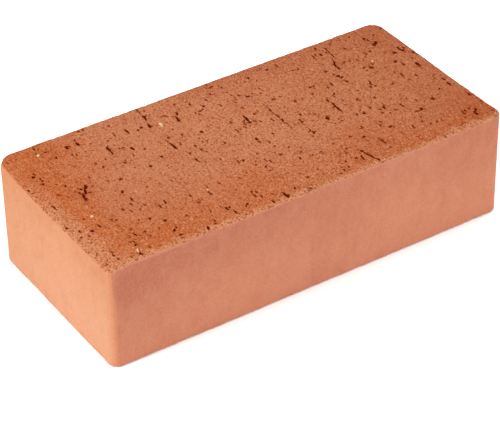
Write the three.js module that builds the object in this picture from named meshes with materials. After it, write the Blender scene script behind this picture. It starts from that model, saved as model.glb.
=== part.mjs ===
// A solid clay brick of the common 250 mm format, one fired piece.
//
// The clay is pushed through a die as a column whose section is the brick's length by its
// width. Its four sides, the two stretchers and the two headers, are smooth die skin, and they
// meet at rounded upright corners. A wire cuts the column across at every brick height. Each
// cut is a flat bed, and its arris, the edge where the bed meets the sides, is a little broken.
//
// Millimetres. +X runs along the length, +Y across the width and +Z up, and the origin is the
// middle of the lower bed.

import * as THREE from 'three';

// Fired size, over the flat faces.
const brickLength = 250;
const brickWidth = 120;
const brickHeight = 64;

// Radius of each upright corner of the column. The wet brick is gripped and stacked before it
// is fired, so that no two corners stay quite alike. Front is -Y and left is -X.
const frontLeftRadius = 5;
const frontRightRadius = 7;
const backRightRadius = 7.5;
const backLeftRadius = 9.5;

// Rounding of the wire-cut arris, the same round both beds.
const arrisRadius = 2;

// Straight facets in a quarter turn of a corner, and of the arris.
const cornerFacets = 14;
const arrisFacets = 5;

// The section of the clay column as the die shapes it, drawn anticlockwise from above.
function columnSection() {
  const right = brickLength / 2;
  const back = brickWidth / 2;
  const quarter = Math.PI / 2;
  const corners = [
    { x: -right, y: -back, radius: frontLeftRadius },
    { x: right, y: -back, radius: frontRightRadius },
    { x: right, y: back, radius: backRightRadius },
    { x: -right, y: back, radius: backLeftRadius },
  ];
  const section = new THREE.Shape();
  corners.forEach(({ x, y, radius }, turn) => {
    const centreX = x - Math.sign(x) * radius;
    const centreY = y - Math.sign(y) * radius;
    const start = (turn + 2) * quarter;
    section.absarc(centreX, centreY, radius, start, start + quarter, false);
  });
  section.closePath();
  return section;
}

// One cut length of the column. The bevel is the arris: it is taken off inside the section and
// inside the height, so that the beds and the sides keep the brick's full size.
function cutBrick() {
  const cut = new THREE.ExtrudeGeometry(columnSection(), {
    depth: brickHeight - 2 * arrisRadius,
    curveSegments: cornerFacets,
    bevelThickness: arrisRadius,
    bevelSize: arrisRadius,
    bevelOffset: -arrisRadius,
    bevelSegments: arrisFacets,
  });
  return cut.translate(0, 0, arrisRadius);
}

const firedClay = new THREE.MeshStandardMaterial({
  color: 0xc8764c,
  roughness: 0.92,
  metalness: 0,
});

const brickBody = new THREE.Mesh(cutBrick(), firedClay);
brickBody.name = 'brick_body';

const group = new THREE.Group();
group.add(brickBody);

export default group;
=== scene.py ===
import math

import bpy
import numpy as np
from mathutils import Matrix, Vector


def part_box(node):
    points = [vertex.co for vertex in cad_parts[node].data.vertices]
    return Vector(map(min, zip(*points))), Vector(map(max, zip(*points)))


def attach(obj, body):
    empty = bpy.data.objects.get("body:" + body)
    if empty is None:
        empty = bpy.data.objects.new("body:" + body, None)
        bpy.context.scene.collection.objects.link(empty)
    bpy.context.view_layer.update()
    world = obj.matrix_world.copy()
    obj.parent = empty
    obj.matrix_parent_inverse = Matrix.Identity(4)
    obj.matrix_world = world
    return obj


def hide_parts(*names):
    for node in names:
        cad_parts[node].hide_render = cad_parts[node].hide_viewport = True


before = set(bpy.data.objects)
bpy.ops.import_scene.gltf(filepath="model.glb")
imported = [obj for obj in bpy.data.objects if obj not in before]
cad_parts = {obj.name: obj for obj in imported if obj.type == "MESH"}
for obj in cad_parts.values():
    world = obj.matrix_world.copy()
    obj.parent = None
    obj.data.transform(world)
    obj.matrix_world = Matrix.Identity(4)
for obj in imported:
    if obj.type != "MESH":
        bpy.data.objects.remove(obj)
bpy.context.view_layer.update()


# ------------------------------------------------------------------------------------------
# The brick
# One solid piece of clay. A die left its four upright sides smooth, and a wire cut it off and
# left both beds torn and pitted. Then it was dried and fired.

# The sizes of the brick are in millimetres, until its mesh is made in metres.
MM = 0.001
low, high = (np.array(corner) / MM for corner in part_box("brick_body"))
length, width, height = high - low

# Radius of each upright corner, by the side of X and the side of Y on which it stands.
corner_radius = {(-1, -1): 5.0, (1, -1): 7.0, (1, 1): 7.5, (-1, 1): 9.5}

# The mesh starts as a blank with crisp arrises. Its steps over the beds are closer across the
# wire's path than along it, because the tears are long and narrow.
crisp_arris = 0.8
arris_steps = 4
side_steps = 44
step_across_path = 0.42
step_along_path = 0.58


def past_corner_centre(x, y, side_x, side_y, radius):
    """How far points are beyond the middle of a rounded corner, and which are beyond it."""
    out_x = x * side_x - (length / 2 - radius)
    out_y = y * side_y - (width / 2 - radius)
    return out_x, out_y, (out_x > 0) & (out_y > 0)


def round_corners(x, y):
    """Draws the corners of a square grid in to the rounded section of the clay column."""
    x, y = x.copy(), y.copy()
    facing_x, facing_y = np.zeros_like(x), np.zeros_like(y)
    for (side_x, side_y), radius in corner_radius.items():
        out_x, out_y, here = past_corner_centre(x, y, side_x, side_y, radius)
        out_x, out_y = out_x[here], out_y[here]
        reach = np.hypot(out_x, out_y)
        pull = 1 - np.maximum(out_x, out_y) / reach
        facing_x[here] = side_x * out_x / reach
        facing_y[here] = side_y * out_y / reach
        x[here] -= side_x * out_x * pull
        y[here] -= side_y * out_y * pull
    return x, y, facing_x, facing_y


def inside_section(x, y):
    """How far points lie in from the outline of the clay column."""
    inset = np.minimum(length / 2 - np.abs(x), width / 2 - np.abs(y))
    for (side_x, side_y), radius in corner_radius.items():
        out_x, out_y, here = past_corner_centre(x, y, side_x, side_y, radius)
        inset[here] = radius - np.hypot(out_x[here], out_y[here])
    return inset


def stations(reach, step):
    """Even stations from -reach to reach, about one step apart."""
    return np.linspace(-reach, reach, round(2 * reach / step) + 1)


# The bed as a grid, and the loop of its outermost points, anticlockwise from above.
square_x, square_y = np.meshgrid(
    stations(length / 2 - crisp_arris, step_across_path),
    stations(width / 2 - crisp_arris, step_along_path),
)
bed_x, bed_y, facing_x, facing_y = round_corners(square_x, square_y)
grid = np.arange(bed_x.size).reshape(bed_x.shape)
loop = np.concatenate([grid[0, :-1], grid[:-1, -1], grid[-1, :0:-1], grid[:0:-1, 0]])

# Each point of the loop faces squarely out of its side, or outwards round its corner. One within
# a hair of the blank's end is on a header.
hair = 0.001
loop_x, loop_y = bed_x.ravel()[loop], bed_y.ravel()[loop]
out_x, out_y = facing_x.ravel()[loop], facing_y.ravel()[loop]
off_corner = np.hypot(out_x, out_y) == 0
on_header = length / 2 - np.abs(loop_x) < crisp_arris + hair
out_x[off_corner] = (np.sign(loop_x) * on_header)[off_corner]
out_y[off_corner] = (np.sign(loop_y) * ~on_header)[off_corner]

# Rings go from the upper bed over its arris, down the sides and under the lower arris. They
# lie closer together near the arrises than halfway down the sides.
quarter = np.linspace(0, math.pi / 2, arris_steps + 1)[1:]
down_side = (1 - np.cos(np.linspace(0, math.pi, side_steps + 1)[1:-1])) / 2
turn = np.concatenate([quarter, np.full(down_side.size, math.pi / 2), math.pi - quarter[::-1]])
ring_z = np.concatenate([
    height - crisp_arris * (1 - np.cos(quarter)),
    height - crisp_arris - (height - 2 * crisp_arris) * down_side,
    crisp_arris * (1 - np.cos(quarter[::-1])),
])
outward = np.sin(turn)[:, None]
rings = np.stack(
    [
        loop_x + out_x * crisp_arris * outward,
        loop_y + out_y * crisp_arris * outward,
        np.repeat(ring_z[:, None], loop.size, axis=1),
    ],
    axis=-1,
)
ring_facing = np.stack(
    [outward * out_x, outward * out_y, np.repeat(np.cos(turn)[:, None], loop.size, axis=1)],
    axis=-1,
)

# All points of the blank: the upper bed, the rings, the lower bed.
up = np.array([0.0, 0.0, 1.0])
flat_bed = np.stack([bed_x.ravel(), bed_y.ravel(), np.zeros(bed_x.size)], axis=-1)
points = np.concatenate([flat_bed + up * height, rings.reshape(-1, 3), flat_bed])
facing = np.concatenate([
    np.tile(up, (grid.size, 1)),
    ring_facing.reshape(-1, 3),
    np.tile(-up, (grid.size, 1)),
])

# Four-sided faces of the blank, each with its front outwards. Hoops are the rings with the edge
# of each bed as the first and the last of them.
lower_start = grid.size + turn.size * loop.size
bed_quads = np.stack([grid[:-1, :-1], grid[:-1, 1:], grid[1:, 1:], grid[1:, :-1]], axis=-1)
bed_quads = bed_quads.reshape(-1, 4)
hoops = np.vstack([
    loop,
    np.arange(grid.size, lower_start).reshape(turn.size, loop.size),
    loop + lower_start,
])
next_along = np.roll(hoops, -1, axis=1)
side_quads = np.stack([hoops[:-1], hoops[1:], next_along[1:], next_along[:-1]], axis=-1)
side_quads = side_quads.reshape(-1, 4)
quads = np.concatenate([bed_quads, bed_quads[:, ::-1] + lower_start, side_quads])


# What the wire and the die left on the clay. The wire dragged hard grains through the soft clay,
# so the pits and furrows of the beds lie along its path, across the width of the brick.

def ease(value, start, end):
    """0 at the start and before it, 1 at the end and after it, and a soft step between them."""
    share = np.clip((value - start) / (end - start), 0, 1)
    return share ** 2 * (3 - 2 * share)


def mottle(u, v, cell_u, cell_v, seed, around=None):
    """Smooth chance heights from -1 to 1, one to a cell. around is the length at which u closes."""
    cells_u = cells_v = 512
    if around:
        cells_u = round(around / cell_u)
        cell_u = around / cells_u
    heights = np.random.default_rng(seed).uniform(-1, 1, (cells_u, cells_v))
    left, below = np.floor(u / cell_u).astype(int), np.floor(v / cell_v).astype(int)
    share_u, share_v = ease(u / cell_u - left, 0, 1), ease(v / cell_v - below, 0, 1)
    left, right = left % cells_u, (left + 1) % cells_u
    below, above = below % cells_v, (below + 1) % cells_v
    nearer = heights[left, below] * (1 - share_u) + heights[right, below] * share_u
    farther = heights[left, above] * (1 - share_u) + heights[right, above] * share_u
    return nearer * (1 - share_v) + farther * share_v


def layered(u, v, *layers, around=None):
    """Adds up layers of mottle. A layer is its height, its two cell sizes and its seed."""
    return sum(rise * mottle(u, v, cell_u, cell_v, seed, around) for rise, cell_u, cell_v, seed in layers)


def dig(x, y, marks, seed):
    """How deep in a mark each point lies: 0 outside it, 1 on its floor.

    A mark is its middle x and y, its size across and along the wire's path, and how far its
    far end leans towards +X. Its rim is ragged, and its ends are a little blunt. Its rim and
    its floor are told by the distance from its middle, which is 1 at its plain outline.
    """
    rim, floor = 1.35, 0.3
    bluntness = 2.6
    spare = 1
    ragged_x = layered(x, y, (0.34, 1.1, 1.3, seed), (0.22, 0.5, 0.6, seed + 1))
    ragged_y = 0.6 * mottle(x, y, 0.9, 1.5, seed + 2)
    crumbling = 0.22 * mottle(x, y, 0.7, 0.9, seed + 3)
    depth = np.zeros_like(x)
    for mark_x, mark_y, size_across, size_along, lean in marks:
        reach_across = size_across + abs(lean) + spare
        here = (np.abs(y - mark_y) < size_along) & (np.abs(x - mark_x) < reach_across)
        along = (y[here] + ragged_y[here] - mark_y) / (size_along / 2)
        across = (x[here] + ragged_x[here] - mark_x - along * lean / 2) / (size_across / 2)
        from_middle = np.sqrt(across ** 2 + np.abs(along) ** bluntness)
        depth[here] = np.maximum(depth[here], ease(from_middle + crumbling[here], rim, floor))
    return depth


def fray(x, y, marks, reach):
    """How near each point is to a mark: 1 in it, and almost 0 from twice the reach on."""
    near = np.zeros_like(x)
    for mark_x, mark_y, size_across, size_along, lean in marks:
        reach_along = size_along / 2 + 2 * reach
        reach_across = size_across + abs(lean) + 2 * reach
        here = (np.abs(y - mark_y) < reach_along) & (np.abs(x - mark_x) < reach_across)
        past_along = np.maximum(np.abs(y[here] - mark_y) - size_along / 2, 0)
        past_across = np.maximum(np.abs(x[here] - mark_x) - size_across / 2, 0)
        near[here] = np.maximum(near[here], np.exp(-((np.hypot(past_along, past_across) / reach) ** 2)))
    return near


def scatter(seed, count, sizes_across, sizes_along, crowding):
    """Marks thrown over a bed by chance, more of them where crowding is nearer to 1."""
    short_usual_or_long = [0.7, 1, 1, 1.6]
    usual_lean, lean_spread = 0.2, 0.3
    dice = np.random.default_rng(seed)
    marks = np.stack(
        [
            dice.uniform(-length / 2, length / 2, count),
            dice.uniform(-width / 2, width / 2, count),
            dice.uniform(*sizes_across, count),
            dice.uniform(*sizes_along, count) * dice.choice(short_usual_or_long, count),
            dice.normal(usual_lean, lean_spread, count),
        ],
        axis=-1,
    )
    return marks[dice.random(count) < crowding(marks[:, 0], marks[:, 1])]


# Marks on the upper bed, each as dig takes it: first the long tears, then the short deep pits,
# the shallow grazes, and the pale grains of lime and burnt clay that stand in the surface.
tears = (
    (22.5, 9.5, 0.6, 31, 0.6), (6.9, 15.3, 1.5, 8.4, 0.9), (54.1, -1.8, 1.5, 11, 0.6),
    (-39.7, 15.5, 1.3, 5.5, 0.4), (-39.9, 19.5, 0.6, 9, 0), (-38, 54, 0.6, 10, 0.3),
    (-38.2, 48.4, 1.6, 5, 0.7), (-37, 49.8, 1, 1.6, 1.6), (-70.2, 31.3, 1.1, 8.5, 0.2),
    (-69.4, 35, 1.2, 3, 1.4), (77.9, 32, 1.4, 7.8, 0.6), (79.2, 36.3, 0.8, 3.6, 1.6),
    (83, 45.5, 0.7, 12, 1.8), (83.9, 50.7, 1.1, 2.6, 0.5), (41.9, -51, 1.1, 14, -2.7),
    (40.8, -44.6, 2, 2.8, 0), (43.3, -56.6, 1.5, 2.6, -0.4), (-15.2, -55.6, 1.4, 7, 0),
    (117.1, 8.3, 1.4, 4.1, 0), (119, -18, 1.4, 5.6, 0.3), (29.4, -14.8, 1, 4.8, 0),
    (43.6, -8.1, 2.2, 3.8, 0.5), (55.3, -42.7, 1, 7, 0.2), (37.2, -50, 1.3, 4.4, 0.8),
    (-120.6, 2.6, 1, 5.8, -0.3), (-40.4, 40, 1.2, 5.4, 1), (-24, 37, 1.3, 6.6, 0.3),
    (-53, 42.3, 1.2, 4.6, 0.2), (-59.1, 26.6, 1.2, 4, -0.6), (-10.8, 46.3, 0.8, 3.8, 0.6),
    (-36.4, -2.2, 1.1, 4.6, 0), (-3.6, 9.4, 0.9, 3.8, 0), (-2.2, 18.2, 0.9, 3.4, 0.3),
    (30.4, -1.8, 0.8, 4, -0.4), (-115.7, -50, 0.8, 3.6, 0.3), (-109.1, -24.4, 0.7, 3.6, 0.2),
    (-97.5, -41, 1, 3.4, 0.2), (-74.5, -27.5, 0.9, 3.8, 0), (-70.2, -25.4, 1.1, 3.8, 0.2),
    (-19, -15.6, 1, 3.4, 0.2), (-64.3, -57.5, 1.8, 3.2, 0.5), (-74.5, 57.2, 1, 3.6, 0),
    (63, -30.3, 1.1, 3.6, 0.6), (91, -30, 1.5, 2, 0.6), (75.3, -16.8, 1, 3.2, 0.5),
    (83.6, 8, 1, 4.2, 0.2), (108.9, 44.6, 1, 3.4, 0), (-83.2, -13.8, 1, 3.6, 0),
    (77, -41.7, 0.9, 3.6, 0.4), (-24, -57, 1.1, 2.8, 0.4), (115.2, -46.6, 1.3, 2.7, 0.8),
    (113, -50.4, 1.3, 3, 0.2), (-69.3, 17.8, 0.8, 2.6, 0), (-45.1, -53.6, 0.8, 4, -0.3),
    (65, 18.8, 1, 3.2, 0), (84.4, -21, 0.9, 4, 0), (-83.9, -4.8, 1.3, 3, 1),
    # the wide gouge near the left end
    (-102.9, 0.4, 1.2, 2.6, 0.4), (-102.2, 3.4, 1.7, 3.2, 1), (-102.7, 6.4, 1.3, 3.2, 0.4),
    (-100.2, 4.8, 1.5, 2.6, 1), (-99.2, 7.4, 1.6, 3, 1), (-97.4, 9.8, 2, 3.8, 1),
    (-98, 4, 2, 1.3, -1), (-100.7, 9.4, 1.2, 2.2, 0.5),
)
pits = (
    (19.4, 34.5, 2, 2.3, 0.5), (40.3, -1.3, 1.6, 1.3, 0), (-30, 9.3, 1.3, 1.6, 0.4),
    (0.7, -3.5, 1.4, 2.5, 0.5), (0.5, -6.4, 1.1, 1.8, 0), (30.2, 50, 1.2, 2.1, 0.4),
    (-16.3, -16.5, 1.4, 2, 0.6), (-47, -30.8, 1.3, 1.6, 0.2), (-46.7, -32.5, 0.8, 1.2, 0),
    (-87.4, 47.2, 1.4, 3.1, 0), (-85.7, 47, 1.5, 1.6, 0), (-99.3, 49.7, 1.4, 1.7, 0.3),
    (-5.8, 40.3, 1.6, 2.1, 0.6), (-1.3, 44.4, 1.3, 2, 0.4), (108.9, 39.2, 2.1, 3.4, 0.8),
    (111, 40.6, 2.8, 1.6, 0), (111.7, 41.8, 0.8, 2, 1), (118, 28.6, 1.6, 2.3, 0.4),
    (118.2, 26.7, 2.1, 2.1, 0), (118.9, 25, 2.3, 2.5, 0.5), (121.2, 27, 1.1, 2, 0),
    (113.8, 25.4, 2.3, 2.1, 0.4), (73, 23.2, 1.9, 2, 0), (73.8, 21.2, 2.2, 1.6, 0),
    (99.7, 33.8, 1.3, 2, 0.5), (103, 34.6, 1.3, 1.6, 0.3), (-79.3, -48.7, 1.3, 2.2, 1),
    (-77.3, -47.3, 1.2, 2, 1), (-79, -54.3, 2, 1.6, 0), (-77.4, -54.6, 1.4, 1.1, 0),
    (-103.8, -56, 2, 1.7, 0), (-103.5, -57.8, 1.3, 1.5, 0), (-102, -48.7, 1.8, 1.7, 0),
    (-101.3, -45.6, 1.2, 1.3, 0), (-103, -45, 1.2, 1.5, 0), (-114, -25.9, 2.4, 2.3, 0),
    (-105.7, 16.4, 1.8, 1.4, 0.3), (-113.6, 27.2, 1.4, 2.1, 0.3), (-114.6, 24.7, 2.3, 1.4, 0),
    (-116, 32.6, 1.8, 2.1, 0.5), (-59.5, 7.3, 1.9, 2, 0.3), (-29.3, 5, 1.1, 1.1, 0.5),
    (-50.3, 11, 1.5, 1.8, 0), (53.5, 22.4, 1.7, 1.5, 0), (55.7, 22.9, 1.6, 2.6, 0.5),
    (29.8, 24.3, 1.5, 1.5, 0.4), (67.2, -34.3, 2.4, 1.3, 0.3), (68.4, -35.8, 1.1, 1.5, 0),
    (102.2, -24.9, 2.3, 3, 0.5), (113.4, -48.4, 2.3, 1.6, 0), (121.7, -33, 1.5, 2.8, 0.3),
    (62.9, -15.4, 2.4, 2.2, 0.3), (49.5, -34, 1.5, 1.8, 0.3), (22.8, -53.8, 1.3, 2.3, 0.4),
    (19.2, -55.7, 1.6, 1.5, 0.2), (-36.3, -51.3, 1.8, 1.4, 0.6), (-37.7, -52.2, 1.3, 1.1, 0.4),
    (-58.8, -56, 1.6, 1.4, 0.5), (-8, -53, 1.3, 1.1, 0), (-1.8, -58, 1.7, 1.5, 0),
    (-47, -48.2, 1.5, 2.6, 0), (-45.2, -48, 1.3, 1.5, 0.4), (-56, -35.1, 1.7, 1, 0),
    (-79, -39, 1.9, 1.8, 0.2), (77.9, 47.2, 1.7, 1.5, 0), (75.2, 48.8, 1.1, 2.3, 0.4),
    (93.1, 45.1, 1.2, 2, 0.6), (91.7, 31.4, 1.2, 2.4, 0.4), (69.4, 31.2, 2, 1.9, 0.6),
    (108.4, 47.6, 1.8, 1.4, 1), (68.7, -13.4, 1.3, 1.7, 0.5), (110.2, 12.6, 1.3, 1.8, 0.5),
    (108.3, 17.3, 2.1, 2.3, 1), (109.2, -0.4, 1.4, 1.6, 0.4), (81.3, 4.2, 1.3, 1.9, 0.5),
    (73.8, 16.3, 1.4, 1.4, 0.4), (60.7, 9.5, 1.7, 1.4, 0.5), (61.5, 17, 1.4, 1.5, 0.6),
    (11.8, 9.8, 1.3, 1.5, 0), (27, -17.9, 0.7, 1.4, 0.5), (22.3, -32.9, 1.1, 2.2, 0.7),
    (27.8, -48.4, 1.1, 2.3, 0.2), (34.7, -48.2, 0.9, 2.1, 0.6), (13.8, -26.5, 0.8, 1.2, 0.2),
    (-13.2, -23.8, 1.2, 1.8, 0.5), (-63, 29.9, 1.8, 1.3, 0.4), (-64.9, 30.6, 1.5, 1.2, 0),
    (93.6, 20.2, 2.8, 2.2, 0.5), (-92.3, -41.3, 0.9, 1.1, 0), (-119.9, -22.7, 1, 2.6, 0),
    (-121.8, -27.9, 1.5, 1.5, 0.4), (-117.5, -29.1, 1.2, 1.3, 0.3), (107.4, -47, 1.2, 1.8, 0.4),
    (109.5, -44.3, 1.1, 2, 0.4), (122, -52.7, 1.3, 1.9, 0.3), (122.6, 20, 2, 2.5, 0),
    (100.2, -54.4, 1.8, 1.1, 0.6), (-124, 23.4, 1.4, 1.8, 0), (-124, -17, 1.6, 1.6, 0),
    (122.8, 51.5, 1.6, 2.8, 0), (119.4, -12.8, 1.1, 3, 0.3), (-11.3, -20.6, 1, 1.8, 0.2),
    (-47.2, 39.9, 2.6, 1.4, 0.6), (-44.8, 40.9, 2, 1.2, 0.6), (-19.8, 19.4, 1.9, 2.1, 0.8),
    (-9.6, 37.1, 2.4, 1.3, 0.3), (-7.6, 37.7, 1.6, 1.3, 0.3), (67.8, -2.2, 1.1, 2.5, 0.8),
    (53.8, 6, 1.6, 2.4, 0.4), (-81, 47.4, 1.4, 4, 0.3),
    (84, 3.2, 1.2, 1.7, 0.3), (-21.6, 42, 1.2, 2.8, 0.6), (-97.2, 42, 1.5, 1.5, 0.3),
    (111.7, -19.3, 1.3, 1.4, 0.3), (-2.7, 23.8, 1, 1.2, 0),
)
# A graze dug at the size it seems to have in the photograph comes out too faint. The seen grazes
# are listed at that size and dug larger, to the nearest tenth. The others were sized one by one.
graze_wider, graze_longer = 1.25, 1.2
seen_grazes = (
    (-76, 26, 1.3, 1.8, 0.5), (-54, 22.4, 2.2, 1.2, 0.3), (-91.6, 16.3, 0.8, 3, 0),
    (-78.6, 5.6, 2.2, 1.7, 0.8), (-94, 8, 1.2, 1.4, 0.3), (-60.4, 43.6, 0.8, 4.6, 0.2),
    (-103, 55.6, 1, 3.4, 0.8), (-109, 20.2, 1.4, 1.3, 0), (-31.4, 30.2, 1.2, 1.6, 0.3),
    (2.5, 35.6, 0.9, 2.8, 0.2), (8, 54, 3.4, 1.3, 0.3), (7.4, 57.3, 1.1, 2.6, 0.3),
    (26.6, 47.8, 1.1, 1.5, 0.3), (12.9, 40.6, 1.2, 1.5, 0.3), (11, 33.2, 1, 2.2, 0.3),
    (11, 26.9, 1.2, 2.2, 0.7), (34.5, 24.3, 1.1, 1.4, 0.2), (13, 17.6, 1.1, 1.4, 0.3),
    (16.4, 19.4, 1.2, 1.4, 0.3), (2.3, 10, 1.2, 1.7, 0.2), (-27.8, 2, 1.3, 1.5, 0.3),
    (-36, 5.4, 1.7, 1.5, 0.3), (-15.5, 3.2, 0.9, 2.4, 0.2), (38.6, 15.6, 1.4, 2.6, 0.4),
    (4.2, 48.2, 1, 3, 0.3), (12.9, 50.6, 1, 2.2, 0.3), (88.6, 54.2, 1.3, 1.8, 0.8),
    (43.8, 51.4, 1.3, 2, 0.6), (55.6, 42.4, 1.8, 1.2, 0.3), (58.3, 41.8, 1.4, 1.3, 0.3),
    (83.9, 33.2, 1.6, 1.3, 0.3), (87.6, 33, 1.3, 1.6, 0.2), (72, 26.8, 1.2, 1.6, 0.4),
    (89.5, 19.4, 0.8, 2, 0.8), (100.2, 15.6, 0.8, 2, 0.8), (73.2, 5, 1.4, 1.2, 0.2),
    (93.2, -0.6, 3, 1.2, 0), (60.8, 1.4, 1, 2.2, 0.3), (-112.5, -15, 1.3, 1.4, 0),
    (-99.2, -24.4, 1.5, 1.5, 0.3), (-89, -21.6, 0.8, 2.6, 0), (-80.4, -21.3, 0.9, 2, 0),
    (-84.4, -24, 1.4, 1.2, 0.2), (-84.2, -33.3, 1.8, 1.5, 0), (-97, -36, 0.9, 2, 0),
    (-97.4, -53.9, 1.7, 1.4, 0), (-89.8, -31, 1.2, 1.4, 0), (11, -4.3, 1.4, 1.3, 0.3),
    (4.8, -9.6, 1.2, 2.6, 0.2), (-6.7, -15, 1.2, 2.4, 0.3), (2.9, -23.3, 1.7, 1.6, 0.3),
    (-27.1, -29, 1.3, 1.3, 0.3), (-9.8, -28.4, 1.2, 2.1, 0.6), (-34.3, -37.2, 1.3, 1.3, 0),
    (-26.6, -44.6, 0.9, 2.2, 0.2), (-26.5, -49, 0.9, 2.4, 0.2), (2.9, -48.5, 1.5, 2, 0.2),
    (26.4, -52.9, 1.3, 1.9, 0.2), (11.6, -45.3, 1.1, 1.2, 0), (48.3, -12.8, 1.3, 1.2, 0.2),
    (58.9, -14.3, 1.2, 2.1, 0.2), (62.8, -12, 1.5, 1.5, 0.4), (74.6, -23.4, 1.4, 1.5, 0.2),
    (79, -22.8, 2.4, 1.1, 0), (94.4, -21.7, 1.1, 2.6, 1), (97, -24.7, 1.2, 1.2, 0.2),
    (53.4, -26.7, 2.8, 1.2, 0.3), (43.4, -30.1, 1.8, 1.5, 0.3), (83.9, -40.1, 1.3, 1.3, 0.3),
    (85.8, -36.5, 1.1, 1.3, 0.3), (108, -44.8, 1.2, 2.4, 0.5), (55.1, -50.3, 1.3, 1.4, 0.2),
    (73.9, -50.1, 1.3, 1.4, 0.2), (105.5, -49.5, 1.3, 1.5, 0.3),
)
grazes_sized_singly = (
    (-88.3, 39.5, 1, 3, 0.3), (-86.6, 38, 1, 2.4, 0.3), (-81, 20, 0.9, 1.8, 0.3),
    (-112.9, 11.2, 3, 2.4, 0), (-66, 40.6, 1.1, 1.8, 0.3), (-30.2, 43.8, 1.4, 1.3, 0.3),
    (18.4, 6.2, 1.1, 1.9, 0.2), (33.4, 3, 1.5, 3.8, 0.3), (96.2, 23, 1.6, 3.4, 0.8),
    (43.2, 15, 1.1, 1.3, 0.3), (-101, -22.8, 1.8, 1.6, 0), (-9.7, -32.5, 1.6, 1.5, 0.5),
    (9.5, -31.9, 1.6, 2.6, 0.2), (31.6, -30.3, 1.1, 1.3, 0.3), (76.9, -5.7, 1.3, 2.7, 0.8),
    (72.5, -17.4, 1.9, 2.4, 0.4), (71.6, -21.1, 2.3, 2.2, 0.5), (88, -30.4, 4.4, 1.8, 0.3),
    (103, 4.6, 1.2, 5.4, 1.8),
)
grazes = grazes_sized_singly + tuple(
    (mark_x, mark_y, round(graze_wider * across, 1), round(graze_longer * along, 1), lean)
    for mark_x, mark_y, across, along, lean in seen_grazes
)
bright_grains = (
    (-34.6, 37.1, 1.9, 5, 0.8), (-103.8, 49, 2.3, 1.7, 0.5), (-108.2, -15.2, 2, 2, 0.4),
    (-103.6, -53.6, 1.1, 3.2, 1.4), (97.5, 24.8, 1.4, 2, 0.4), (-46.6, -28.6, 1.1, 2, 0.6),
)

# Where each point of the blank lies, how far in it is from the sides and from the nearer bed,
# and how squarely it faces up or down.
x, y, z = points.T
inset = inside_section(x, y)
drop = np.minimum(height - z, z)
is_upper = z > height / 2
upright = np.abs(facing[:, 2])

# The soft clay slumped at the front and left edges of the upper bed, most at the corner between
# them. The slump drew the marks there in a little with it.
slump_reach = 26
slump_at_right, more_at_left, slump_of_left_edge = 0.7, 1.0, 2.3
drawn_in_x, drawn_in_y = 0.75, 1.17
near_front = np.clip(1 - (y + width / 2) / slump_reach, 0, 1) ** 2
near_left = np.clip(1 - (x + length / 2) / slump_reach, 0, 1) ** 2
grows_leftwards, ends_at_right, ends_at_back = ease(x, 90, -100), ease(x, 122, 95), ease(y, 66, 0)
front_slump = (slump_at_right + more_at_left * grows_leftwards) * ends_at_right * near_front
left_slump = slump_of_left_edge * ends_at_back * near_left
slump = np.hypot(front_slump, left_slump) * is_upper
cut_x, cut_y = x - drawn_in_x * slump, y - drawn_in_y * slump

# Which points belong to a torn bed, 1, and which to the smooth sides, 0. The border between
# them is ragged. On stretches of the front edge, mostly to the left, the skin laps over it.
raggedness = 1.4
more_to_left = 0.006
ragged_border = raggedness * upright * (1 - upright) * mottle(x + y, x - y, 2.2, 2.2, 49)
bed_face = ease(upright + ragged_border, 0.2, 0.75)
lapped_stretches = ease(mottle(x, y, 22, 22, 51) - more_to_left * x, 0, 0.7)
along_front = ease(-y, 50, 58) * ease(x + length / 2, 7, 20) * is_upper
lap = ease(inset + 0.5 * mottle(x, y, 3, 3, 52), 1.5, 0.5)
bed_face = bed_face * (1 - along_front * lapped_stretches * lap)
on_bed = bed_face > 0
upper, lower = on_bed & is_upper, on_bed & ~is_upper

# Distance round the column, for the points of the rings.
steps_round = np.hypot(np.diff(loop_x, append=loop_x[0]), np.diff(loop_y, append=loop_y[0]))
girth = steps_round.sum()
travel = np.zeros(len(points))
travel[grid.size:lower_start] = np.tile(np.cumsum(steps_round) - steps_round, turn.size)


def mostly_right_and_back(x, y):
    """The wire tore the clay more towards the right end and the back, and close to the left end."""
    everywhere = 0.4
    to_right = 0.45 * ease(x, 10, 110)
    to_back = 0.35 * ease(y, 0, 55)
    at_left_end = 0.3 * ease(-x, 85, 120)
    return np.clip(everywhere + to_right + to_back + at_left_end, 0, 1)


def evenly(x, y):
    """The same crowding all over a bed."""
    return np.full_like(x, 0.8)


def front_left_most(x, y):
    """Crumbs of the burr lie scattered a little way in from the front and left edges."""
    fewer_at_back = 20 * ease(y, -10, 40)
    from_edges = np.minimum(y + width / 2, x + length / 2 + fewer_at_back)
    return ease(from_edges, 28, 6) * (0.35 + 0.65 * ease(x, 90, 0))


# Marks thrown by chance, each lot by its seed, how many are thrown, their smallest and largest
# size across and along the wire's path, and where they crowd.
torn_spots = scatter(17, 240, (0.9, 1.7), (1.3, 2.4), mostly_right_and_back)
torn_specks = scatter(18, 700, (0.6, 1.1), (0.8, 1.6), mostly_right_and_back)
wire_lines = scatter(20, 60, (0.6, 0.9), (5, 16), evenly)
dull_grains = scatter(25, 40, (0.9, 1.6), (1, 2), evenly)
burr_crumbs = scatter(28, 3600, (0.9, 1.7), (0.7, 1.4), front_left_most)
lower_pits = scatter(29, 190, (0.9, 1.9), (1.5, 5), evenly)
lower_specks = scatter(37, 900, (0.7, 1.6), (0.9, 2.4), evenly)
lower_grains = scatter(43, 16, (1, 2), (1.2, 2.4), evenly)


def dig_bed(bed, marks, seed):
    """How deep in a mark each point of the brick lies, for marks on one of its beds."""
    depth = np.zeros(len(points))
    depth[bed] = dig(cut_x[bed], cut_y[bed], marks, seed)
    return depth


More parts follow.
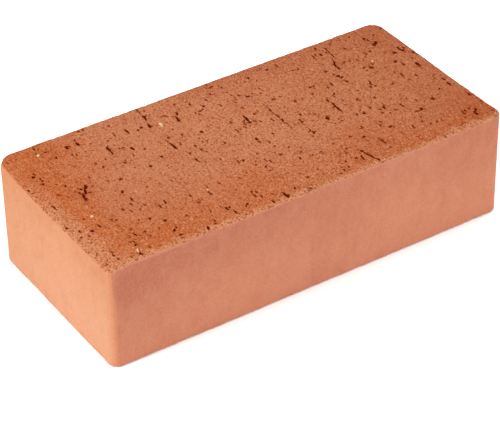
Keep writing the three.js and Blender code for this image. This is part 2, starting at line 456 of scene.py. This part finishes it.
# Pits are deep, scars are shallow and grains stand proud, and the slighter marks come to a share
# of one. No crumb of the burr lies in a pit, and few lie in a scar.
graze_share = 0.35
torn_speck_share, wire_line_share, lower_speck_share = 0.55, 0.5, 0.8
dull_grain_share, crumb_share = 0.45, 0.48
kept_out_of_scars = 0.8
grazed = dig_bed(upper, grazes, 45)
upper_pit = np.maximum(dig_bed(upper, tears + pits, 11), graze_share * grazed)
upper_scar = np.maximum.reduce([
    grazed,
    dig_bed(upper, torn_spots, 19),
    torn_speck_share * dig_bed(upper, torn_specks, 21),
    wire_line_share * dig_bed(upper, wire_lines, 22),
])
kept_out = np.maximum(upper_pit, kept_out_of_scars * upper_scar)
pit = np.maximum(upper_pit, dig_bed(lower, lower_pits, 31))
scar = np.maximum(upper_scar, lower_speck_share * dig_bed(lower, lower_specks, 41))
grain = np.maximum.reduce([
    dig_bed(upper, bright_grains, 23),
    dull_grain_share * dig_bed(upper, dull_grains, 27),
    crumb_share * dig_bed(upper, burr_crumbs, 32) * (1 - kept_out),
    dig_bed(lower, lower_grains, 47),
])

# The clay is loosened round the deep marks, here and there.
fray_reach = 2.2
frayed = np.zeros(len(points))
for bed, marks in ((upper, tears + pits), (lower, lower_pits)):
    loosened = ease(layered(x[bed], y[bed], (1, 4, 5, 33), (0.7, 1.5, 2.2, 34)), -0.5, 0.6)
    frayed[bed] = fray(cut_x[bed], cut_y[bed], marks, fray_reach) * loosened

# The wire pushed some clay over the front edge and most of the left edge of the upper bed. It
# stayed there as a pale, crumbly burr with gaps in it, widest at the corner between them. The
# wire rounded the other upper edges instead.
wander = 1.6 * mottle(x + y, x - y, 7, 7, 53) + 1.5 * mottle(x, y, 1.9, 2.1, 59)
from_front = cut_y + width / 2 + wander
from_left = cut_x + length / 2 + 1.6 * wander
front_burr_width = 5 + 2 * ease(x, 60, 120)
left_burr_width = 11 + 9 * ease(-y, 15, 40)
burr_on_front = ease(from_front, front_burr_width, 1.6)
burr_on_left = ease(from_left, left_burr_width, 1.5) * ease(y, 45, -10)
burr_at_back_left = 0.5 * ease(from_left, 6, 2) * ease(y, 64, 40)
burr_at_front_left = 0.72 * ease(np.hypot(from_left, from_front), 26, 8)
burr = np.maximum.reduce([burr_on_front, burr_on_left, burr_at_back_left, burr_at_front_left])
burr = burr * ease(drop, 2.4, 0.9) * is_upper
gaps = ease(layered(x, y, (0.8, 0.8, 0.9, 54), (0.4, 1.9, 2.2, 55)), 0.3, 0.7) * ease(inset, 0.7, 1.6)
scar = np.maximum(scar * (1 - 0.2 * burr), 0.5 * gaps * burr * bed_face)

# A painted highlight runs along the front arris itself as a thin pale line, fainter in places.
front_arris_highlight_inset, front_arris_highlight_width = 0.5, 0.7
front_arris_highlight_line = np.exp(-(((inset - front_arris_highlight_inset) / front_arris_highlight_width) ** 2))
at_front = np.maximum(ease(-facing[:, 1], 0.2, 0.9), from_front < 2)
fainter_in_places = 0.6 + 0.4 * mottle(x, y, 3, 3, 56)
front_arris_highlight = front_arris_highlight_line * at_front * is_upper * ease(drop, 1.6, 0.5) * fainter_in_places

# Fine cracks join up some of the torn spots.
crack_line = ease(np.abs(mottle(x + 0.5 * y, y, 2.1, 2.8, 57)), 0.16, 0.02)
crack_zone = ease(layered(x, y, (1, 4, 5, 58), (0.5, 1.2, 1.6, 60)), 0.25, 0.7)
crowding = np.where(is_upper, mostly_right_and_back(x, y), 0.7)
crack_share = 0.5
scar = np.maximum(scar, crack_share * crack_line * crack_zone * bed_face * crowding)


def round_patch(middle_x, middle_y, reach_x, reach_y):
    """A soft-edged patch on a bed: 1 in its middle."""
    return np.exp(-(((x - middle_x) / reach_x) ** 2) - ((y - middle_y) / reach_y) ** 2)


# How far the wire and handling rounded the arrises from crisp. They rounded the far side of the
# upper bed more and its back left corner most. The near arrises and the lower ones are uneven.
near_radius, far_extra, worn_corner_extra = 1.2, 1.4, 1.4
worn_corner_reach = 14
far_side_evenness = 0.75
far_side = ease(x / length + y / width, -0.3, 0.4)
worn_corner = round_patch(-length / 2, width / 2, worn_corner_reach, worn_corner_reach)
upper_radius = near_radius + far_extra * far_side + worn_corner_extra * worn_corner
unevenness = 1 - far_side_evenness * far_side * is_upper
uneven = layered(x, y, (0.4, 9, 9, 62), (0.25, 2.4, 2.4, 63)) * unevenness
arris_radius = np.where(is_upper, upper_radius, near_radius) * (1 + uneven)

# Each point goes in along the way it faces, until it lies on the round of its arris.
past_in, past_down = arris_radius - inset, arris_radius - drop
sideways = np.sqrt(1 - upright ** 2)
outside = (past_in > 0) & (past_down > 0)
reach_in = past_in * sideways + past_down * upright
under_root = reach_in ** 2 - past_in ** 2 - past_down ** 2 + arris_radius ** 2
rounding = np.where(outside, reach_in - np.sqrt(np.maximum(under_root, 0)), 0)
rounding = np.maximum(rounding, 0)

# Relief of the beds and of the die skin, as heights above or below the crisp blank. None of it
# goes above highest, so that the brick stays within its full size.
bed_level, skin_level, highest = -0.35, -0.1, -0.03
grain_height, rim_height = 0.22, 0.1
pit_depth, scar_depth, loose_depth, bite_depth = 0.85, 0.32, 0.16, 0.55
burr_height = 0.12
bed_waves = layered(
    x, y,
    (0.08, 27, 38, 61), (0.05, 4.5, 22, 67), (0.04, 1.6, 8, 71),
    (0.065, 2.1, 2.8, 79), (0.07, 0.9, 1.2, 73),
)
burr_lumps = burr * (burr_height + layered(x, y, (0.2, 1.5, 1.5, 83), (0.2, 0.8, 0.8, 89)))
loose = frayed * (0.5 + 0.5 * mottle(x, y, 0.9, 1.1, 91))
rims = 4 * pit * (1 - pit) * (0.5 + 0.5 * mottle(x, y, 1.3, 1.5, 92))
raised = bed_waves + burr_lumps + rim_height * rims + grain_height * grain
bed_rise = raised - pit_depth * pit - scar_depth * scar - loose_depth * loose + bed_level
skin_waves = layered(
    travel, z,
    (0.06, 36, 90, 97), (0.008, 11, 60, 101), (0.008, 2.5, 6, 103),
    around=girth,
)
skin_rise = skin_waves + skin_level
bites = ease(layered(travel, z, (1, 2.4, 60, 107), (0.6, 1.1, 2, 109), around=girth), 0.4, 1.2)
bites = bites * ease(inset, 2, 0.6) * ease(drop, 1.8, 0.5) * (1 - burr)
rise = bed_face * bed_rise + (1 - bed_face) * skin_rise - rounding - bite_depth * bites
points = points + facing * np.minimum(rise, highest)[:, None]
slump_starts_at = 30
points[:, 2] -= slump * ease(z, slump_starts_at, height)

# What the clay's colour follows, kept point by point: 1 in full and 0 not at all. The bed is
# more orange towards the left and front edges, and round one spot near them.
orange_reach_left, orange_reach_front, less_at_front = 65, 55, 0.2
colour_drift = layered(x, y, (0.25, 22, 26, 113), (0.11, 8, 11, 127))
off_left_edge = (x + length / 2) / orange_reach_left
off_front_edge = less_at_front + (y + width / 2) / orange_reach_front
orange_edges = ease(np.minimum(off_left_edge, off_front_edge) + colour_drift, 1, 0.1)
orange_spot = 0.55 * round_patch(-68, -50, 34, 26)

# It is more crumbly about the middle, but not in two spots where the clay is firmer.
to_middle = ease(np.abs(x - 10), 105, 25)
firmer_spots = 0.9 * round_patch(-38, 12, 15, 22) + 0.45 * round_patch(62, 24, 13, 13)
crumbly = 0.2 + 0.42 * to_middle - firmer_spots + layered(x, y, (0.4, 13, 17, 128), (0.3, 5, 6, 129))

# It is darker towards the right end, most at the corners there, and along the back edge.
darker_right = 0.75 * ease(x, -10, 125) + 0.3 * ease(x, 90, 115)
darker_front_right = 0.35 * ease(x, 85, 125) * ease(-y, 5, 50)
darker_back = 0.9 * ease(y, 34, 58) * ease(x, -60, 15) * (1 - 0.6 * ease(x, 50, 90))
darker_right_corners = 0.25 * ease(x, 95, 112) * ease(np.abs(y), 18, 45)
darker_by_chance = 0.6 * colour_drift
dark = np.clip(darker_right + darker_front_right + darker_back + darker_by_chance, 0, 1)
dark = dark + darker_right_corners

# The headers have a paler, yellower skin than the stretchers, the left one most. On the left
# header, where the light falls strongest, part of this paleness is painted highlight. A painted
# highlight makes the upright corners paler still, the front left one most, less wide near its top,
# and faintly a little way past it along the stretcher.
right_header_share, corner_highlight_past_share, other_corners_share = 0.45, 0.4, 0.3
endwise = np.abs(facing[:, 0])
header_side = ease(endwise, 0.4, 0.85)
header = header_side * np.where(x < 0, 1, right_header_share)
near_top = ease(z, 30, 60)
corner_highlight_from, corner_highlight_to = 0.05 + 0.35 * near_top, 0.35 + 0.3 * near_top
corner_highlight_round = ease(endwise, corner_highlight_from, corner_highlight_to) * ease(endwise, 0.99, 0.85)
from_left_end = x + length / 2 + 1.5 * mottle(x + y, z, 9, 12, 137)
corner_highlight_past = corner_highlight_past_share * ease(from_left_end, 11, 4) * ease(-facing[:, 1], 0.5, 1)
corner_highlight = np.maximum(corner_highlight_round, corner_highlight_past)
corner_highlight = corner_highlight * np.where((x < 0) & (y < 0), 1, other_corners_share)

# The skin has painted shade towards the upper bed, less of it on the headers, and it has soft tan
# and dull stains. Each stain is its middle and its radius.
tan_stains = (((-125, 70, 20), 60), ((60, 60, 20), 35), ((125, 25, 0), 26))
dull_stains = (
    ((-116, -60, 50), 36), ((-80, -60, 66), 36), ((-35, -60, 66), 26),
    ((0, -60, 4), 5), ((15, -60, 4), 4), ((-125, 35, 66), 42),
)


def stained(stains):
    """How far each point lies in any of the stains: 1 in the middle of one."""
    share = np.zeros(len(points))
    for middle, radius in stains:
        away = np.linalg.norm(points - np.array(middle), axis=1)
        share = np.maximum(share, np.exp(-((away / radius) ** 2)))
    return share


# Painted shade darkens the sides towards the upper bed, less on the headers; the dull stains add to it.
top_shade_strength, stain_dullness = 0.78, 0.5
spared_below, less_near_top = 0.42, 0.3
painted_shade_up = ease(z / height + 0.22 * mottle(travel, z, 45, 38, 131, girth), 0.15, 1.15)
header_spared = header_side * (spared_below - less_near_top * ease(z, 42, 60))
dull_and_top_shade = (top_shade_strength * painted_shade_up + stain_dullness * stained(dull_stains)) * (1 - header_spared)

traits = {
    "bed": bed_face,
    "pit": pit,
    "scar": scar,
    "grain": grain,
    "burr": burr,
    "frayed": frayed,
    "orange": np.minimum(orange_edges + orange_spot, 1),
    "dark": dark,
    "crumbly": np.clip(crumbly, 0, 1),
    "corner_highlight": corner_highlight,
    "header": header,
    "tan": stained(tan_stains),
    "dull_and_top_shade": np.minimum(dull_and_top_shade, 1),
    "front_arris_highlight": front_arris_highlight,
}

blank = bpy.data.meshes.new("brick_blank")
blank.vertices.add(len(points))
blank.vertices.foreach_set("co", (points * MM).ravel())
blank.loops.add(quads.size)
blank.loops.foreach_set("vertex_index", quads.ravel())
blank.polygons.add(len(quads))
blank.polygons.foreach_set("loop_start", np.arange(0, quads.size, 4))
for name, values in traits.items():
    blank.attributes.new(name, "FLOAT", "POINT").data.foreach_set("value", values.astype(np.float32))
blank.update(calc_edges=True)

# The smoother stretches are thinned out, so that the triangles are spent on the torn clay.
most_triangles = 194_000
brick = bpy.data.objects.new("clay_brick", blank)
bpy.context.scene.collection.objects.link(brick)
thinning = brick.modifiers.new("thinning", "DECIMATE")
thinning.ratio = most_triangles / (2 * len(quads))
thinning.use_collapse_triangulate = True
thinned = brick.evaluated_get(bpy.context.evaluated_depsgraph_get())
brick.data = bpy.data.meshes.new_from_object(thinned)
brick.modifiers.clear()
bpy.data.meshes.remove(blank)
skin = brick.data
skin.name = "clay_brick"
skin.shade_smooth()

# The skin is laid out flat for a texture: two strips for the sides, each round one upright
# corner, then the upper bed and the lower bed. The upper bed gets most room.
# The sheet is square, and a gap keeps the strips and the beds apart on it.
sheet = 300
gap = 3
side_scale, upper_scale, lower_scale = 0.79, 1.0, 0.55
corner_points = np.empty(len(skin.loops), dtype=np.int32)
skin.loops.foreach_get("vertex_index", corner_points)
places = np.empty(len(skin.vertices) * 3)
skin.vertices.foreach_get("co", places)
faces = places.reshape(-1, 3)[corner_points].reshape(-1, 3, 3) / MM
middle = faces.mean(axis=1)
middle_inset = inside_section(middle[:, 0], middle[:, 1])
is_upper_face = height - middle[:, 2] < middle_inset
is_lower_face = middle[:, 2] < middle_inset
on_front_strip = (middle[:, 0] * width > middle[:, 1] * length)[:, None]
towards_right_back = faces[..., 0] + faces[..., 1]
along_strip = np.where(on_front_strip, towards_right_back, -towards_right_back) + (length + width) / 2
strip_height = height * side_scale
strip_start = np.where(on_front_strip, gap, 2 * gap + strip_height)
sheet_x = gap + along_strip * side_scale
sheet_y = strip_start + faces[..., 2] * side_scale
beds_start = 3 * gap + 2 * strip_height
for is_this_bed, scale, start in (
    (is_upper_face, upper_scale, beds_start),
    (is_lower_face, lower_scale, beds_start + width * upper_scale + gap),
):
    sheet_x[is_this_bed] = gap + (faces[is_this_bed, :, 0] + length / 2) * scale
    sheet_y[is_this_bed] = start + (faces[is_this_bed, :, 1] + width / 2) * scale
layout = skin.uv_layers.new(name="OFBake")
layout.data.foreach_set("uv", (np.stack([sheet_x, sheet_y], axis=-1) / sheet).ravel())


# Fired clay. Iron in it gives the colour: pinkish in the middle of the bed and more orange
# towards the ends. The die skin is paler than the torn beds, and the pits are dark inside.

def colour(*channels):
    """A colour by its usual numbers from 0 to 255, as the linear light that shaders work in."""
    shares = [channel / 255 for channel in channels]
    light = [share / 12.92 if share < 0.0405 else ((share + 0.055) / 1.055) ** 2.4 for share in shares]
    return (*light, 1.0)


def bare_tree(owner):
    """Empties the nodes of a material or a world, so that it gets its own ones."""
    owner.use_nodes = True
    owner.node_tree.nodes.clear()
    return owner.node_tree.nodes, owner.node_tree.links


def feed(socket, value):
    """Sets a socket, or links it to where its value comes from."""
    if isinstance(value, bpy.types.NodeSocket):
        links.new(value, socket)
    else:
        socket.default_value = value


def add(kind, settings=(), **sockets):
    """Adds a node to the tree in hand, with its settings and what goes into its sockets."""
    node = nodes.new("ShaderNode" + kind)
    for name, value in dict(settings).items():
        setattr(node, name, value)
    for name, value in sockets.items():
        feed(node.inputs[name.replace("_", " ")], value)
    return node


def trait(name):
    """A trait of the clay, as it was kept point by point."""
    return add("Attribute", {"attribute_name": name}).outputs["Fac"]


def arithmetic(operation, first, second):
    """Works two values into one by a sum that Blender knows by name."""
    node = add("Math", {"operation": operation})
    feed(node.inputs[0], first)
    feed(node.inputs[1], second)
    return node.outputs["Value"]


def plus(first, second):
    return arithmetic("ADD", first, second)


def minus(first, second):
    return arithmetic("SUBTRACT", first, second)


def times(first, second):
    return arithmetic("MULTIPLY", first, second)


def between(value, start, end, most=1.0):
    """0 up to the start, the most from the end on, and a soft step between them."""
    limits = {"From_Min": start, "From_Max": end, "To_Max": most}
    return add("MapRange", {"interpolation_type": "SMOOTHSTEP"}, Value=value, **limits).outputs["Result"]


def cover(share, ground, coat):
    """The ground's colour, with this share of it under a coat."""
    node = add("Mix", {"data_type": "RGBA"})
    feed(node.inputs["Factor"], share)
    feed(node.inputs["A"], ground)
    feed(node.inputs["B"], coat)
    return node.outputs["Result"]


def lay_coats(ground, coats):
    """Lays coats over a ground one after the other. A coat is its share and its colour."""
    for share, coat in coats:
        ground = cover(share, ground, coat)
    return ground


clay = bpy.data.materials.new("clay")
nodes, links = bare_tree(clay)
on_brick = add("TexCoord").outputs["Object"]


def speckle(size, octaves=2, stretch=(1, 1, 1), roughness=0.5):
    """Cloudy noise, in spots of about this size in millimetres, drawn out along the axes."""
    mapping = add("Mapping", Vector=on_brick, Scale=tuple(1 / part for part in stretch))
    drawn_out = mapping.outputs["Vector"]
    noise = add("TexNoise", Vector=drawn_out, Scale=1 / (size * MM), Detail=octaves, Roughness=roughness)
    return noise.outputs["Fac"]


# The torn beds: sand and grit in the clay, then the burr, the torn specks and the marks. Noise
# mostly stays from 0.3 to 0.7, so a coat that goes by it lies between two levels of it.
pinkish_clay = colour(211, 133, 93)
orange_clay = colour(202, 107, 57)
brown_clay = colour(172, 78, 38)
cloudy_clay = colour(200, 112, 66)
dark_sand = colour(158, 65, 14)
pale_sand = colour(237, 168, 130)
pale_dust = colour(240, 172, 130)
frayed_clay = colour(170, 84, 44)
pinkish_burr = colour(222, 156, 124)
orange_burr = colour(226, 156, 114)
coarse_torn = colour(150, 50, 0)
fine_torn = colour(132, 38, 0)
scar_rim = colour(162, 64, 8)
scar_floor = colour(112, 34, 2)
pit_rim = colour(150, 48, 0)
pit_floor = colour(102, 28, 0)
lime_grain = colour(250, 212, 168)
# Painted highlight along the front arris, on the torn side.
torn_arris_highlight = colour(226, 160, 134)

sand = speckle(1.0, octaves=4, stretch=(1, 1.35, 1), roughness=0.75)
dust = speckle(0.7)
clouds = speckle(16, octaves=3)
crumble = speckle(3.2, octaves=5, stretch=(1, 1.6, 1), roughness=0.72)
crumble_fine = speckle(1.7, octaves=4, stretch=(1, 1.4, 1), roughness=0.7)

# Crumbly clay shows more of its sand. It shows more torn specks too, as frayed clay does.
orange_trait, crumbly_trait = trait("orange"), trait("crumbly")
frayed_trait, burr_trait = trait("frayed"), trait("burr")
sandiness = plus(0.56, times(crumbly_trait, 0.48))
looseness = plus(times(frayed_trait, 0.09), times(crumbly_trait, 0.045))
coarse_specks = minus(crumble, looseness)
fine_specks = minus(minus(crumble_fine, looseness), times(burr_trait, 0.02))

# The sand makes the rims of scars and pits ragged.
ragged = times(minus(sand, 0.5), 1.7)
ragged_scar = minus(trait("scar"), ragged)
ragged_pit = minus(trait("pit"), ragged)
burr_clay = cover(orange_trait, pinkish_burr, orange_burr)
torn = lay_coats(cover(orange_trait, pinkish_clay, orange_clay), (
    (times(trait("dark"), 0.42), brown_clay),
    (between(clouds, 0.35, 0.7, 0.3), cloudy_clay),
    (between(sand, 0.48, 0.3, sandiness), dark_sand),
    (between(sand, 0.53, 0.7, sandiness), pale_sand),
    (between(dust, 0.56, 0.72, 0.7), pale_dust),
    (times(frayed_trait, 0.16), frayed_clay),
    (times(burr_trait, between(sand, 0.33, 0.58, 0.92)), burr_clay),
    (between(coarse_specks, 0.355, 0.29, 0.3), coarse_torn),
    (between(fine_specks, 0.345, 0.28, 0.8), fine_torn),
    (between(ragged_scar, 0.1, 0.5, 0.6), scar_rim),
    (between(ragged_scar, 0.45, 0.85, 0.9), scar_floor),
    (between(ragged_pit, 0.02, 0.32, 0.85), pit_rim),
    (between(ragged_pit, 0.3, 0.55), pit_floor),
    (between(trait("grain"), 0.15, 0.9), lime_grain),
    # Painted highlight along the front arris.
    (times(trait("front_arris_highlight"), 0.45), torn_arris_highlight),
))

# The smooth sides: the die skin with its stains, painted shade and painted corner highlights,
# then faint smudges, die lines and pores, and the kiln's dust.
stretcher_skin = colour(232, 150, 118)
# The header skin is paler and yellower; on the left header, where the light falls strongest, part of it
# is painted highlight.
header_skin = colour(232, 173, 135)
hazy_skin = colour(232, 154, 118)
# Colours for the dull stains and for the painted shade towards the upper bed.
dull_shaded_stretcher = colour(198, 114, 88)
dull_shaded_header = colour(206, 126, 78)
tan_skin = colour(216, 150, 108)
# Painted highlight on the upright corners.
corner_highlight_skin = colour(248, 162, 118)
# Painted highlight along the front arris, on the skin side.
skin_arris_highlight = colour(228, 164, 138)
pale_smudge = colour(240, 172, 138)
dark_smudge = colour(204, 122, 90)
pore = colour(196, 114, 82)
pale_speck = colour(244, 180, 148)
dark_speck = colour(192, 110, 80)

haze = speckle(40, octaves=3)
smudges = speckle(7, octaves=4, stretch=(1, 1, 1.5), roughness=0.6)
pores = speckle(1.3, octaves=3, stretch=(1, 1, 1.5), roughness=0.6)
die_lines = speckle(2.2, octaves=3, stretch=(1, 1, 20), roughness=0.6)

header_trait = trait("header")
smooth = lay_coats(cover(header_trait, stretcher_skin, header_skin), (
    (between(haze, 0.35, 0.7, 0.3), hazy_skin),
    # Painted shade towards the upper bed, and the dull stains.
    (times(trait("dull_and_top_shade"), 0.62), cover(header_trait, dull_shaded_stretcher, dull_shaded_header)),
    (times(trait("tan"), 0.4), tan_skin),
    # Painted highlight on the upright corners.
    (between(trait("corner_highlight"), 0.1, 0.9, 0.45), corner_highlight_skin),
    # Painted highlight along the front arris.
    (times(trait("front_arris_highlight"), 0.45), skin_arris_highlight),
    (between(smudges, 0.42, 0.62, 0.16), pale_smudge),
    (between(smudges, 0.45, 0.32, 0.16), dark_smudge),
    (between(die_lines, 0.45, 0.68, 0.07), pale_smudge),
    (between(pores, 0.42, 0.3, 0.2), pore),
    (between(dust, 0.52, 0.68, 0.2), pale_speck),
    (between(dust, 0.48, 0.32, 0.2), dark_speck),
))

# Relief too fine for the mesh, level where the beds meet the sides.
common_level = 1.58
relief_depth = 0.4
die_line_share = 0.08
sandy = plus(sand, times(dust, 0.5))
crumbled = plus(between(crumble, 0.28, 0.46, 0.5), between(crumble_fine, 0.25, 0.42, 0.35))
torn_relief = minus(plus(sandy, crumbled), common_level)
smooth_relief = times(minus(die_lines, 0.5), die_line_share)
relief = add("Mix", {"data_type": "FLOAT"})
feed(relief.inputs["Factor"], trait("bed"))
feed(relief.inputs["A"], smooth_relief)
feed(relief.inputs["B"], torn_relief)
bump = add("Bump", Strength=1.0, Distance=relief_depth * MM, Height=relief.outputs["Result"])

surface = add(
    "BsdfPrincipled",
    Base_Color=cover(trait("bed"), smooth, torn),
    Roughness=0.92,
    Specular_IOR_Level=0.05,
    Normal=bump.outputs["Normal"],
)
add("OutputMaterial", Surface=surface.outputs["BSDF"])
skin.materials.clear()
skin.materials.append(clay)

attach(brick, "root")
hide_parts("brick_body")


# ------------------------------------------------------------------------------------------
# The table
# A plain white table top, wide enough to fill the view. It is painted matt, so that all it
# shows of the brick is a soft shadow.

table_reach = 4.0
table_corners = ((-1, -1), (1, -1), (1, 1), (-1, 1))
table_top = bpy.data.meshes.new("table_top")
table_top.from_pydata(
    [(side_x * table_reach, side_y * table_reach, 0) for side_x, side_y in table_corners],
    [],
    [range(len(table_corners))],
)
table = bpy.data.objects.new("table", table_top)
bpy.context.scene.collection.objects.link(table)

white = bpy.data.materials.new("white_table")
nodes, links = bare_tree(white)


def seen_directly():
    """1 where a ray comes from the camera, from gloss or through glass, and 0 for other light."""
    path = add("LightPath").outputs
    not_camera = arithmetic("MAXIMUM", path["Is Glossy Ray"], path["Is Transmission Ray"])
    return arithmetic("MAXIMUM", path["Is Camera Ray"], not_camera)


# The table is seen whiter than it lights. Near the brick it is a little cool, against the red
# light off the clay, and farther away it is brighter still, so that it shows no horizon.
table_white = (0.8, 0.8, 0.8, 1)
seen_near, seen_far = (1.6, 1.72, 1.76, 1), (6, 6, 6, 1)
near_reach, far_reach = 0.35, 0.9
on_table = add("TexCoord").outputs["Object"]
from_middle = add("VectorMath", {"operation": "LENGTH"}, Vector=on_table).outputs["Value"]
seen_white = cover(between(from_middle, near_reach, far_reach), seen_near, seen_far)
paint = add("BsdfDiffuse", Color=cover(seen_directly(), table_white, seen_white))
add("OutputMaterial", Surface=paint.outputs["BSDF"])
table_top.materials.append(white)


# ------------------------------------------------------------------------------------------
# Studio light
# A white room, a large soft lamp up on the left, and weaker ones above and on the right. The
# room is seen whiter than it lights.

room_light, seen_room = 0.5, 1.0
world = bpy.data.worlds.new("white_room")
bpy.context.scene.world = world
nodes, links = bare_tree(world)
room = add("MixShader")
feed(room.inputs[0], seen_directly())
for socket, strength in ((room.inputs[1], room_light), (room.inputs[2], seen_room)):
    feed(socket, add("Background", Color=(1, 1, 1, 1), Strength=strength).outputs["Background"])
add("OutputWorld", Surface=room.outputs["Shader"])


def hang_lamp(name, place, size, watts):
    """A round soft lamp that points at the middle of the brick."""
    light = bpy.data.lights.new(name, "AREA")
    light.shape = "DISK"
    light.size = size
    light.energy = watts
    lamp = bpy.data.objects.new(name, light)
    lamp.location = place
    from_brick = Vector(place) - Vector((0, 0, height * MM / 2))
    lamp.rotation_euler = from_brick.to_track_quat("Z", "Y").to_euler()
    bpy.context.scene.collection.objects.link(lamp)


hang_lamp("left_lamp", place=(-1.5, 0.1, 0.8), size=0.5, watts=14)
hang_lamp("top_lamp", place=(0.1, 0.2, 1.8), size=1.0, watts=5.5)
hang_lamp("right_lamp", place=(1.0, -1.5, 0.7), size=0.8, watts=9.5)


# ------------------------------------------------------------------------------------------
# The camera
# A long lens from the front left, a little over a metre away and looking down on the brick. It
# aims a little off the brick's middle and is held about a degree off level.

view_turn = math.radians(-32.648)
view_drop = math.radians(35.728)
view_roll = math.radians(-1.023)
view_distance = 1.2017
aim = Vector((-0.0145, -0.0192, 0.0317))
towards_camera = Vector((
    math.sin(view_turn) * math.cos(view_drop),
    -math.cos(view_turn) * math.cos(view_drop),
    math.sin(view_drop),
))
lens = bpy.data.cameras.new("long_lens")
lens.sensor_width = 36
lens.lens = 161.1
lens.clip_end = 50
camera = bpy.data.objects.new("camera", lens)
bpy.context.scene.collection.objects.link(camera)
camera.matrix_world = (
    Matrix.Translation(aim + towards_camera * view_distance)
    @ towards_camera.to_track_quat("Z", "Y").to_matrix().to_4x4()
    @ Matrix.Rotation(view_roll, 4, "Z")
)
bpy.context.scene.camera = camera
bpy.context.scene.view_settings.view_transform = "Standard"
